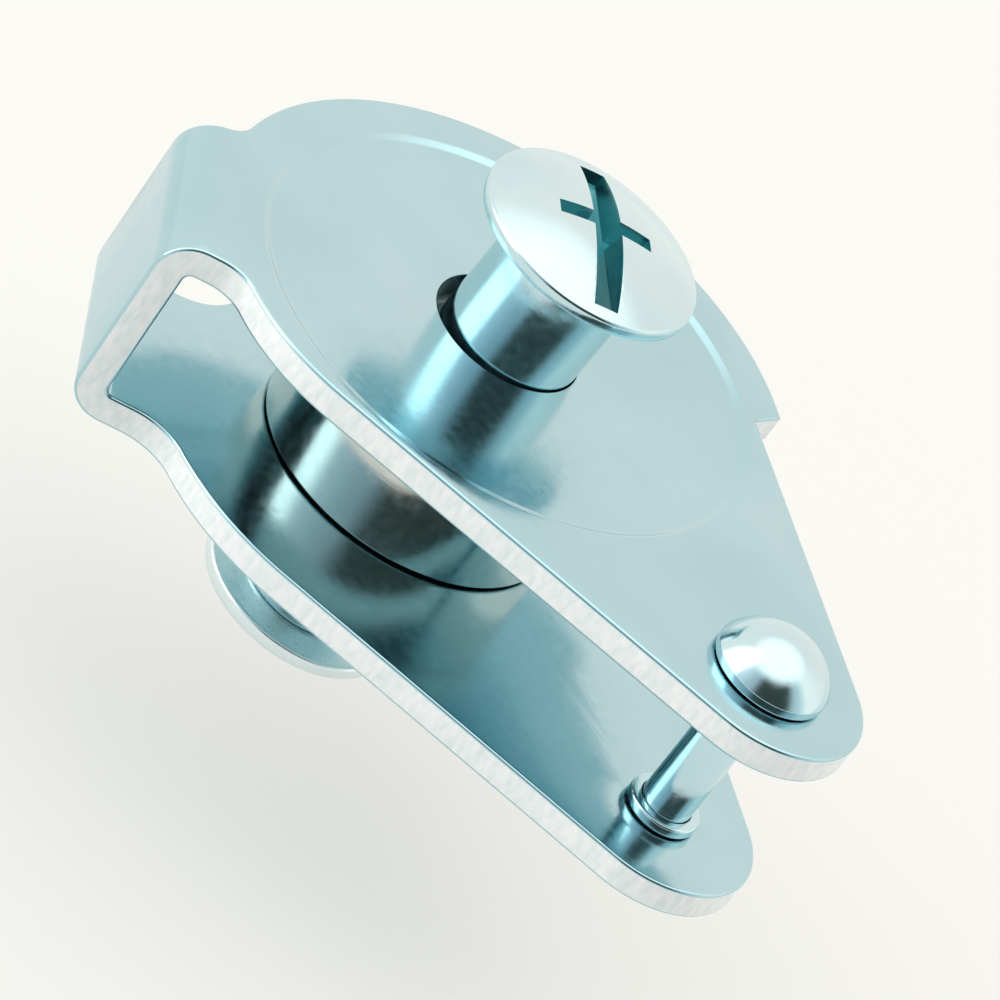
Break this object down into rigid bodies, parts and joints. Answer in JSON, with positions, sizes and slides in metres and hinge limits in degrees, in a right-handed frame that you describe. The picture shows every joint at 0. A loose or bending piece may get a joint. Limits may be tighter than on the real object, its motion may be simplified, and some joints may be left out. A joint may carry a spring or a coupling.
{
  "type": "roller cleat",
  "caption": "Folded steel roller cleat: a grooveless roller on a binding screw between two teardrop cheeks, with a riveted pin at the narrow end.",
  "frame": {"origin": "below the middle of the bounding box, level with the crown of the slotted nut", "axes": "+Z along the roller's axis towards the screw's head, +X from the roller to the riveted pin"},
  "size_m": [0.0534, 0.0408, 0.0357],
  "materials": {
    "plated_sheet": "bright zinc plate, blue passivated, rolled sheet",
    "plated_roller": "bright zinc plate, turned",
    "plated_fastener": "bright zinc plate, blue passivated",
    "bush_nylon": "natural nylon"
  },
  "bodies": {
    "frame": {"folded_body": "plated_sheet", "rivet_pin": "plated_fastener", "pin_collar": "plated_fastener"},
    "roller": {"roller": "plated_roller", "roller_bush": "bush_nylon"},
    "axle": {"axle_sleeve": "plated_fastener"},
    "screw": {"axle_screw": "plated_fastener"},
    "nut": {"slotted_nut": "plated_fastener"}
  },
  "joints": [
    {"name": "roller_spin", "type": "hinge", "parent": "frame", "child": "roller", "pos_m": [-0.0072, 0.00091, 0.0186], "axis": [0, 0, 1], "continuous": true},
    {"name": "axle_slide", "type": "slide", "parent": "frame", "child": "axle", "axis": [0.0489, 0.024, 0.9985], "range_m": [-0.0071, 0.0088]},
    {"name": "screw_turn", "type": "hinge", "parent": "axle", "child": "screw", "pos_m": [-0.0072, 0.00092, 0.0186], "axis": [0.0489, 0.024, 0.9985], "range_deg": [0, 2160]},
    {"name": "nut_advance", "type": "slide", "parent": "axle", "child": "nut", "axis": [-0.0489, -0.024, -0.9985], "range_m": [0, 0.00425]}
  ],
  "couplings": [
    {"joint": "nut_advance", "follows": "screw_turn", "m_per_rad": 0.00011141}
  ]
}
